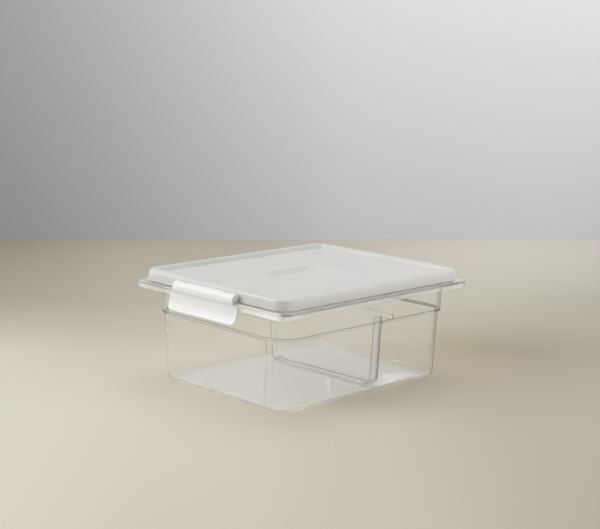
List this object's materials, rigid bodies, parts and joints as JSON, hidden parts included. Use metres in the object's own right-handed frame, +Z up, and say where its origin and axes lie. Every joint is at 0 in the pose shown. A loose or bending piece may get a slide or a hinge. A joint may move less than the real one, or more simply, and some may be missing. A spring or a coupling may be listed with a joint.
{
  "type": "deli food pan",
  "caption": "Clear shouldered food pan with a frosted lid, a seal ring, end latches that swing out and a sliding cross divider.",
  "frame": {"origin": "centre of the pan's flat underside", "axes": "+Z up, +Y along the pan's long side away from the front latch, the front latch faces -Y"},
  "size_m": [0.265, 0.341, 0.1406],
  "materials": {
    "pan_clear": "clear, polished",
    "divider_clear": "clear, polished",
    "lid_frosted": "translucent, satin",
    "gasket_silicone": "matt silicone",
    "latch_white": "satin",
    "pin_steel": "ground"
  },
  "bodies": {
    "pan": {"pan": "pan_clear"},
    "divider": {"divider": "divider_clear"},
    "lid": {"lid": "lid_frosted", "lid_gasket": "gasket_silicone", "hinge_pin_front": "pin_steel", "hinge_pin_rear": "pin_steel"},
    "latch_front": {"latch_front": "latch_white"},
    "latch_rear": {"latch_rear": "latch_white"}
  },
  "joints": [
    {"name": "lid_lift", "type": "slide", "parent": "pan", "child": "lid", "axis": [0, 0, 1], "range_m": [0, 0.2]},
    {"name": "latch_front_hinge", "type": "hinge", "parent": "lid", "child": "latch_front", "pos_m": [0, -0.1612, 0.1328], "axis": [-1, 0, 0], "range_deg": [0, 105]},
    {"name": "latch_rear_hinge", "type": "hinge", "parent": "lid", "child": "latch_rear", "pos_m": [0, 0.1612, 0.1328], "axis": [1, 0, 0], "range_deg": [0, 105]},
    {"name": "divider_slide", "type": "slide", "parent": "pan", "child": "divider", "axis": [0, 1, 0], "range_m": [-0.138, 0.072]}
  ]
}
